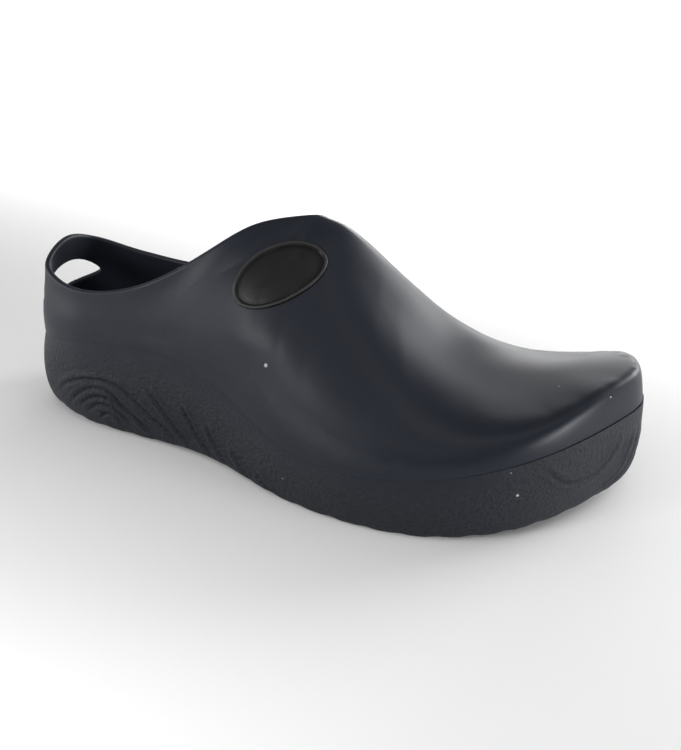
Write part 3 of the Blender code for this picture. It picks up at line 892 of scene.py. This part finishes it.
def rim_place(flat):
    """Points of the sole's rim and the wall of its cup, from the side's top edge in to the cup floor."""
    at, across = (flat[:, 0] - 0.5) * ROUND, flat[:, 1][:, None]
    edge = side_points(at, 0 * at)
    rim = eased_parting(at) - outward(at) * SOLE_RIM
    rim[:, 2] -= MEETING_GAP + RIM_FALL
    floor = rim - outward(at) * CUP_SLOPE
    floor[:, 2] = both_sides(SOLE["z_floor"], at)
    knee = rim * (1 - across) + floor * across
    fall = soft_step((across[:, 0] * CUP_ROWS - 1) / (CUP_ROWS - 1)) ** CUP_FALL
    on_rim = np.clip(across * CUP_ROWS, 0, 1)
    points = edge * (1 - on_rim) + knee * on_rim
    lowered = rim[:, 2] * (1 - fall) + floor[:, 2] * fall
    points[:, 2] = np.where(across[:, 0] * CUP_ROWS <= 1, points[:, 2], lowered)
    return points, 0 * at


def across_place(flat, line, lift):
    """Points between the two sides of a line round the shoe, lifted along the middle."""
    section, across = flat[:, 0] * SPANS, flat[:, 1][:, None]
    points = line(section) * (1 - across) + line(-section) * across
    points[:, 2] += lift(section) * np.sin(math.pi * across[:, 0])
    return points


def bottom_edge(at):
    """Lower edge of the side, with the shallow ends of its grooves."""
    return side_points(at, 0 * at + 1, EDGE_GROOVE * groove_depth(section_at(at)))


def arch_lift(section):
    """Lift of the bottom along the middle of the waist."""
    return np.maximum(smooth(SOLE["arch"], section, False), 0)


def bottom_place(flat):
    """Points of the bottom, with arch and grooves."""
    section, across = flat[:, 0] * SPANS, flat[:, 1]
    points = across_place(flat, bottom_edge, arch_lift)
    inside = soft_step(np.minimum(across, 1 - across) / GROOVE_RUN_OUT)
    points[:, 2] += (1 - EDGE_GROOVE) * groove_depth(section) * inside
    return points, soft_step(groove_depth(section) / LUG_GROOVE)


def cup_edge(at):
    """Edge of the cup floor."""
    floor = eased_parting(at) - outward(at) * (SOLE_RIM + CUP_SLOPE)
    floor[:, 2] = both_sides(SOLE["z_floor"], at)
    return floor


def cup_place(flat):
    """Points of the cup floor."""
    return across_place(flat, cup_edge, np.zeros_like), 0 * flat[:, 0]


def side_grain(flat):
    """Share of grain on the sole's side: it fades in below the parting line, and is full at the toe."""
    section, share = section_at((flat[:, 0] - 0.5) * ROUND), 1 - flat[:, 1]
    below = np.interp(share, (0, GRAIN_RUN_IN), (0, 1))
    return np.maximum(below, np.interp(section, GRAIN_CRISP, (0, 1)))


sole = bmesh.new()
hollow_mark, grain_mark = (sole.verts.layers.float.new(name) for name in ("hollow", "grained"))
half_round = LUGS * STATIONS_PER_LUG
for across, along, shape in (
    (2 * half_round, SOLE_ROWS, sole_place),
    (2 * half_round, CUP_ROWS, rim_place),
    (half_round, RUNGS, bottom_place),
    (half_round, RUNGS // 2, cup_place),
):
    sheet = flat_grid(sole, across, along)
    flat = coordinates(sheet)
    grained = side_grain(flat) if shape is sole_place else np.ones(len(sheet))
    points, hollow = shape(flat)
    place(sheet, in_frame(points))
    for vert, depth, grain in zip(sheet, hollow, grained):
        vert[hollow_mark] = depth
        vert[grain_mark] = grain
face_outwards(sole)
print("sole sheets welded,", closed_or_open(sole))
sole_piece = make_piece("cup_sole", sole, "sole")

# %% [markdown]
# ## Insole
# The footbed is a loose bed of moulded foam that lies in the cup. It could be a scaled copy of the cup
# floor, but its dishes under heel and ball would be lost. So a grid across the cup gives its dished
# top, solidify gives its thickness, and bevel rounds its upper edge.

# %% Insole
INSOLE_THICKNESS = 4.0
INSOLE_CLEARANCE = 0.6
INSOLE_STATIONS = 120
INSOLE_RUNGS = 30
INSOLE_DISHES = ((2, 0.8), (8, 0.48))
INSOLE_DISH_LONG = 1.5
INSOLE_FILL = 0.9
INSOLE_ROUND = {"offset": 0.8, "segments": 3}


def insole_edge(at):
    """Upper edge of the footbed."""
    edge = parting(at) - outward(at) * (SOLE_RIM + CUP_SLOPE + INSOLE_CLEARANCE)
    edge[:, 2] = both_sides(SOLE["z_floor"], at) + MEETING_GAP + INSOLE_THICKNESS
    return edge


def insole_dish(section):
    """Dish of the footbed under heel and ball."""
    return -sum(deep * np.exp(-(((section - middle) / INSOLE_DISH_LONG) ** 2))
                for middle, deep in INSOLE_DISHES)


insole = bmesh.new()
bed = flat_grid(insole, INSOLE_STATIONS, INSOLE_RUNGS)
place(bed, in_frame(across_place(coordinates(bed), insole_edge, insole_dish)))
bmesh.ops.remove_doubles(insole, verts=insole.verts[:], dist=WELD)
bmesh.ops.recalc_face_normals(insole, faces=insole.faces[:])
if next(iter(insole.faces)).normal.z < 0:
    bmesh.ops.reverse_faces(insole, faces=insole.faces[:])
top_verts = set(insole.verts)
bmesh.ops.solidify(insole, geom=insole.faces[:], thickness=INSOLE_THICKNESS * INSOLE_FILL * MM)
rim = [e for e in insole.edges if set(e.verts) <= top_verts
       and any(not set(f.verts) <= top_verts for f in e.link_faces)]
bmesh.ops.bevel(insole, geom=rim, offset=INSOLE_ROUND["offset"] * MM, segments=INSOLE_ROUND["segments"],
                profile=0.5, affect="EDGES", material=-1)
insole_piece = make_piece("footbed", insole, "insole")

# %% [markdown]
# ## Badge
# The badge is an oval of black rubber with a rounded bead round a plain, slightly crowned face. Its
# section is the same all round, so it is a grid wrapped round the oval: one way runs round, the other
# along the profile, from under the middle, out to the bead and back to the middle of the face. A torus
# laid on a disc would leave a seam between bead and face. The rows of the bead are marked for a painted
# highlight: the bead is given a paler tone where its rounded top catches light.

# %% Badge
BADGE_TURNS = 128
BEAD_ROWS = (5, 8)
BADGE_PROFILE = table(
    "inset height",
    (13.2, -0.9),
    (6, -0.9),
    (0.1, -0.9),
    (0, -0.7),
    (0, 0.55),
    (0.12, 0.85),
    (0.4, 1.1),
    (0.8, 1.18),
    (1.2, 1.05),
    (1.5, 0.75),
    (1.75, 0.3),
    (2.0, 0.12),
    (2.4, 0.18),
    (2.9, 0.32),
    (4.5, 0.42),
    (8, 0.55),
    (11, 0.6),
    (13.2, 0.6),
)


def profile_rows(flat):
    """Row of the badge's profile for each vertex of a flat grid."""
    return np.rint(flat[:, 1] * (len(BADGE_PROFILE["inset"]) - 1)).astype(int)


def badge_place(flat):
    """Points of the badge for a flat grid that runs round it and along its profile."""
    turn = flat[:, 0] * 2 * math.pi
    row = profile_rows(flat)
    inset, height = (BADGE_PROFILE[name][row] for name in ("inset", "height"))
    short = BADGE["half_short"] - MEETING_GAP
    shrunk = 1 - inset / short
    reach = BADGE["half_long"] - MEETING_GAP - np.minimum(inset, short)
    along = np.where(inset < short, reach, 0) * np.cos(turn)
    across = short * np.maximum(shrunk, 0) * np.sin(turn)
    middle, axes = badge_axes()
    start = np.full(len(turn), float(BADGE["section"])), np.full(len(turn), BADGE["share"])
    spot = places_under(np.stack([along, across], 1) + middle @ axes.T, axes, *start)
    return upper_points(*spot) + surface_normal(upper_points, *spot) * height[:, None]


badge = bmesh.new()
bead_highlight_mark = badge.verts.layers.float.new("bead_highlight")
oval = flat_grid(badge, BADGE_TURNS, len(BADGE_PROFILE["inset"]) - 1)
flat = coordinates(oval)
# The bead rows are marked for a painted highlight: a paler tone where the bead catches light.
for vert, row in zip(oval, profile_rows(flat)):
    vert[bead_highlight_mark] = float(BEAD_ROWS[0] <= row <= BEAD_ROWS[1])
place(oval, in_frame(badge_place(flat)))
face_outwards(badge)
print("badge", closed_or_open(badge))
badge_piece = make_piece("oval_badge", badge, "badge")

# %% [markdown]
# ## Materials
# All colours are sRGB hex values. Blender works in linear light, so one function converts them. Another
# adds a node with its settings and links. Patterns are given in millimetres and read Object
# coordinates, which are the shoe's own, so nothing slides when the shoe moves.

# %% Helpers for materials
def linear(code):
    """Linear colour of an sRGB hex value."""
    parts = [int(code[k:k + 2], 16) / 255 for k in (1, 3, 5)]
    return [c / 12.92 if c <= 0.04045 else ((c + 0.055) / 1.055) ** 2.4 for c in parts] + [1]


def add_node(tree, kind, inputs=None, **settings):
    """Adds a node with its settings, and fills or links its inputs."""
    made = tree.nodes.new(kind)
    for name, value in settings.items():
        setattr(made, name, value)
    for name, value in (inputs or {}).items():
        socket = next(i for k, i in enumerate(made.inputs) if i.enabled and name in (i.name, k))
        if isinstance(value, bpy.types.NodeSocket):
            tree.links.new(value, socket)
        else:
            socket.default_value = value
    return made


def result_of(node):
    """The output of a node that is in use."""
    return next(o for o in node.outputs if o.enabled)


def per_metre(size_mm):
    """Texture scale for a pattern of a size in millimetres."""
    return 1 / (size_mm * MM)


def start_material(name, **sockets):
    """New material with its shader, its tree and the shoe's own coordinates."""
    material = bpy.data.materials.new(name)
    material.use_nodes = True
    tree = material.node_tree
    shader = tree.nodes["Principled BSDF"]
    for socket, value in sockets.items():
        shader.inputs[socket.replace("_", " ")].default_value = value
    return material, tree, shader, tree.nodes.new("ShaderNodeTexCoord").outputs["Object"]


# %% [markdown]
# A worn shoe has small flecks of dust and nicks. They could be painted on an image, but a few places
# with a radius, in millimetres, stay sharp at any size. Each fleck is a layer of a pale tone, and one
# function lays such layers over a first tone, for all finishes.

# %% Layers of tones
FLECK_TONE = "#b4b6ba"
FLECK_CORE = 0.6


def near_spot(tree, spot, middle, far, close):
    """Share that rises to 1 from a far to a close distance, in millimetres, round a place on the shoe."""
    ends = {0: spot, 1: tuple(in_frame(middle))}
    off = add_node(tree, "ShaderNodeVectorMath", ends, operation="DISTANCE")
    rise = {"Value": off.outputs["Value"], "From Min": far * MM, "From Max": close * MM}
    return result_of(add_node(tree, "ShaderNodeMapRange", rise))


def layered(tree, colour, *layers):
    """First tone with further tones laid over it, each by its own share."""
    for share, tone in layers:
        over = {"Factor": share, "A": colour, "B": tone}
        colour = result_of(add_node(tree, "ShaderNodeMix", over, data_type="RGBA"))
    return colour


def flecks(tree, spot, places):
    """Layers of small pale flecks at places of the shoe, each with a radius."""
    return [(near_spot(tree, spot, (x, y, z), radius, FLECK_CORE * radius), linear(FLECK_TONE))
            for x, y, z, radius in places]


print("flecks of tone", [round(c, 3) for c in linear(FLECK_TONE)])

# %% [markdown]
# The shell is polyurethane poured against a polished mould. That gives a satin skin: soft, broad
# highlights and no visible grain, in a black that leans to blue. One flat colour would look like paint,
# so a slow noise of 28 mm moves tone and gloss a little, and a fine one of 0.9 mm softens the edges of
# the highlights. The inner wall gets a paler tone, painted light where little light reaches inside.

# %% Satin polyurethane of the shell
FLECKS_ON_SHELL = (
    (140, -45.5, 61, 1.1),
    (242, -37, 48, 0.4),
    (277, -1, 55, 0.45),
    (255, 0, 55, 0.4),
    (246, -41, 45, 0.4),
)


def satin_polyurethane():
    """Smooth poured polyurethane: a satin skin, dark blue-black, with a very fine mould grain."""
    material, tree, shader, spot = start_material("satin_moulded_polyurethane", Specular_IOR_Level=0.3)
    mottle = add_node(tree, "ShaderNodeTexNoise", {"Vector": spot, "Scale": per_metre(28), "Detail": 3})
    grain = add_node(tree, "ShaderNodeTexNoise", {"Vector": spot, "Scale": per_metre(0.9), "Detail": 2})
    inside = add_node(tree, "ShaderNodeAttribute", attribute_name="inside").outputs["Fac"]
    # The paler tone on the inner wall is painted light, where little light reaches inside the shell.
    tones = (mottle.outputs["Fac"], linear("#171c29")), (inside, linear("#262a33"))
    colour = layered(tree, linear("#121722"), *tones, *flecks(tree, spot, FLECKS_ON_SHELL))
    tree.links.new(colour, shader.inputs["Base Color"])
    dulling = {"Value": mottle.outputs["Fac"], "To Min": 0.36, "To Max": 0.46}
    gloss = add_node(tree, "ShaderNodeMapRange", dulling)
    tree.links.new(gloss.outputs["Result"], shader.inputs["Roughness"])
    skin_grain = {"Height": grain.outputs["Fac"], "Distance": 0.05 * MM, "Strength": 0.5}
    bump = add_node(tree, "ShaderNodeBump", skin_grain)
    tree.links.new(bump.outputs["Normal"], shader.inputs["Normal"])
    return material


upper_piece.data.materials.append(satin_polyurethane())
print("shell:", upper_piece.data.materials[0].name)

# %% [markdown]
# The sole is the same polyurethane, poured against an etched mould, so it is duller and has a leathery
# grain of 1.5 to 1.7 mm. Displacement would need a far finer mesh, so the grain is a bump, while the
# ribs are real. The finish reads two values that were kept on the vertices: grain fades in below the
# parting line, and the grooves get painted shade, a darker tone because little light reaches them. One
# corner of the heel is scuffed.

# %% Grained polyurethane of the sole
FLECKS_ON_SOLE = ((251, -40, 23, 0.75), (151, -54, 12, 0.4), (248, -42, 34, 0.3))
SCUFF = {"middle": (4, -24, 27), "reach": (10, 4)}


def grained_polyurethane():
    """Etched-mould polyurethane: dull, with a leathery grain, painted shade in the grooves and a scuff."""
    material, tree, shader, spot = start_material("grained_moulded_polyurethane", Specular_IOR_Level=0.3)
    grained = add_node(tree, "ShaderNodeAttribute", attribute_name="grained").outputs["Fac"]
    hollow = add_node(tree, "ShaderNodeAttribute", attribute_name="hollow").outputs["Fac"]
    leathery = {"Vector": spot, "Scale": per_metre(1.7), "Detail": 5, "Roughness": 0.7}
    grain = add_node(tree, "ShaderNodeTexNoise", leathery)
    cell_size = {"Vector": spot, "Scale": per_metre(1.5)}
    cells = add_node(tree, "ShaderNodeTexVoronoi", cell_size, feature="SMOOTH_F1")
    relief = {0: grain.outputs["Fac"], 1: cells.outputs["Distance"]}
    height = add_node(tree, "ShaderNodeMath", relief, operation="ADD")
    tone = layered(tree, linear("#06080c"), (grain.outputs["Fac"], linear("#272c36")))
    streak = add_node(tree, "ShaderNodeTexNoise", {"Vector": spot, "Scale": per_metre(4), "Detail": 4})
    strokes = {"Value": streak.outputs["Fac"], "From Min": 0.56, "From Max": 0.64}
    scuffed = add_node(tree, "ShaderNodeMapRange", strokes)
    around = near_spot(tree, spot, SCUFF["middle"], *SCUFF["reach"])
    both = {0: scuffed.outputs["Result"], 1: around}
    worn = add_node(tree, "ShaderNodeMath", both, operation="MULTIPLY")
    # The grooves get a darker tone as painted shade, where little light reaches them.
    tones = (grained, tone), (worn.outputs["Value"], linear("#4a4f58")), (hollow, linear("#040506"))
    colour = layered(tree, linear("#141924"), *tones, *flecks(tree, spot, FLECKS_ON_SOLE))
    tree.links.new(colour, shader.inputs["Base Color"])
    gloss = add_node(tree, "ShaderNodeMapRange", {"Value": grained, "To Min": 0.42, "To Max": 0.55})
    tree.links.new(gloss.outputs["Result"], shader.inputs["Roughness"])
    depth = add_node(tree, "ShaderNodeMapRange", {"Value": grained, "To Min": 0.1, "To Max": 1.0})
    etched = {"Height": height.outputs["Value"], "Distance": 0.55 * MM}
    etched["Strength"] = depth.outputs["Result"]
    bump = add_node(tree, "ShaderNodeBump", etched)
    tree.links.new(bump.outputs["Normal"], shader.inputs["Normal"])
    return material


sole_piece.data.materials.append(grained_polyurethane())
print("sole:", sole_piece.data.materials[0].name)

# %% [markdown]
# The badge is pressed rubber and the footbed is closed-cell foam. Rubber is a neutral black beside the
# blue of the shell, with a satin gloss and a fine mould texture of 0.7 mm, and its bead has a painted
# highlight, a paler tone where it catches light. Foam scatters nearly all light, so it is dull, with
# cells of about a millimetre. Both could share one material, but their gloss tells them apart.

# %% Rubber of the badge and foam of the footbed
def pressed_rubber():
    """Pressed rubber of the badge: neutral black, satin, fine mould texture and a painted highlight on the
    bead.
    """
    finish = {"Roughness": 0.42, "Specular_IOR_Level": 0.3}
    material, tree, shader, spot = start_material("pressed_black_rubber", **finish)
    grain = add_node(tree, "ShaderNodeTexNoise", {"Vector": spot, "Scale": per_metre(0.7), "Detail": 2})
    bead_highlight = add_node(tree, "ShaderNodeAttribute", attribute_name="bead_highlight").outputs["Fac"]
    # The paler tone on the bead is a painted highlight, where its rounded top catches light.
    colour = layered(tree, linear("#0b0b0b"), (bead_highlight, linear("#30302f")))
    tree.links.new(colour, shader.inputs["Base Color"])
    mould_grain = {"Height": grain.outputs["Fac"], "Distance": 0.05 * MM, "Strength": 0.5}
    bump = add_node(tree, "ShaderNodeBump", mould_grain)
    tree.links.new(bump.outputs["Normal"], shader.inputs["Normal"])
    return material


def footbed_foam():
    """Closed-cell foam of the footbed: dull and black, with fine cells."""
    material, tree, shader, spot = start_material("closed_cell_foam", Roughness=0.85)
    cells = add_node(tree, "ShaderNodeTexVoronoi", {"Vector": spot, "Scale": per_metre(1.2)})
    shader.inputs["Base Color"].default_value = linear("#0f1012")
    foamed = {"Height": cells.outputs["Distance"], "Distance": 0.2 * MM, "Strength": 0.6}
    bump = add_node(tree, "ShaderNodeBump", foamed)
    tree.links.new(bump.outputs["Normal"], shader.inputs["Normal"])
    return material


insole_piece.data.materials.append(footbed_foam())
badge_piece.data.materials.append(pressed_rubber())
print("materials:", [m.name for m in bpy.data.materials if m.users])

# %% [markdown]
# ## Studio
# A dark satin skin shows mostly what it reflects, so the lights draw its form. One large light would be
# simpler, but it would leave the side of the shoe flat. Soft boxes behind the shoe make the vamp and
# the toe fade to grey at their far edges, and smaller ones in front, above and at both ends draw the
# side, the toe and the heel. Panels with a narrow spread light the paper in front and behind without
# reaching the shoe.

# %% Floor, lights and world
FLOOR_SIZE = 6.0
ROOM_LEVEL = 0.33


def add_floor():
    """Pale studio floor."""
    bm = bmesh.new()
    bmesh.ops.create_grid(bm, x_segments=1, y_segments=1, size=FLOOR_SIZE)
    data = bpy.data.meshes.new("studio_floor")
    bm.to_mesh(data)
    bm.free()
    floor = bpy.data.objects.new("studio_floor", data)
    bpy.context.scene.collection.objects.link(floor)
    material, _, shader, _ = start_material("pale_studio_paper", Roughness=0.9)
    shader.inputs["Base Color"].default_value = linear("#fafafa")
    data.materials.append(material)


def add_light(name, place_mm, towards_mm, size, watts, spread_deg):
    """Soft light, of a width and a height, that looks at a point and spreads by an angle."""
    data = bpy.data.lights.new(name, "AREA")
    data.shape = "RECTANGLE"
    data.size, data.size_y = size
    data.energy = watts
    data.spread = math.radians(spread_deg)
    light = bpy.data.objects.new(name, data)
    light.location = in_frame(place_mm)
    gaze = Vector(in_frame(towards_mm)) - light.location
    light.rotation_euler = gaze.to_track_quat("-Z", "Y").to_euler()
    bpy.context.scene.collection.objects.link(light)


def add_world():
    """Evenly dim white room."""
    world = bpy.data.worlds.new("white_studio")
    world.use_nodes = True
    background = world.node_tree.nodes["Background"]
    background.inputs["Color"].default_value = (1, 1, 1, 1)
    background.inputs["Strength"].default_value = ROOM_LEVEL
    bpy.context.scene.world = world


# Name, place, point looked at, size in metres, watts and spread in degrees of each light.
LIGHTS = (
    ("low_back_strip", (150, 760, 205), (220, 0, 60), (0.6, 0.15), 0.57, 90),
    ("back_right_softbox", (640, 560, 260), (230, 0, 60), (0.4, 0.3), 1.0, 90),
    ("front_left_softbox", (-312, -649, 336), (136, -41, 72), (0.2, 0.2), 1.6, 180),
    ("toe_softbox", (700, -90, 75), (265, -22, 51), (0.16, 0.12), 0.3, 90),
    ("top_softbox", (430, -80, 820), (190, -40, 60), (0.35, 0.35), 0.35, 180),
    ("left_panel", (-700, -250, 150), (30, -30, 50), (0.4, 0.3), 1.5, 180),
    ("front_panel", (100, -900, 900), (140, 0, 40), (0.9, 0.9), 1.3, 180),
    ("floor_panel", (10, -330, 800), (10, -330, 0), (0.5, 0.3), 0.35, 34),
    ("side_floor_panel", (30, -260, 420), (30, -260, 0), (0.06, 0.06), 0.7, 14),
    ("backdrop_panel", (-250, 1075, 420), (-250, 1075, 0), (2.8, 1.65), 14, 60),
)
add_floor()
for light in LIGHTS:
    add_light(*light)
add_world()
bpy.context.scene.view_settings.view_transform = "Standard"
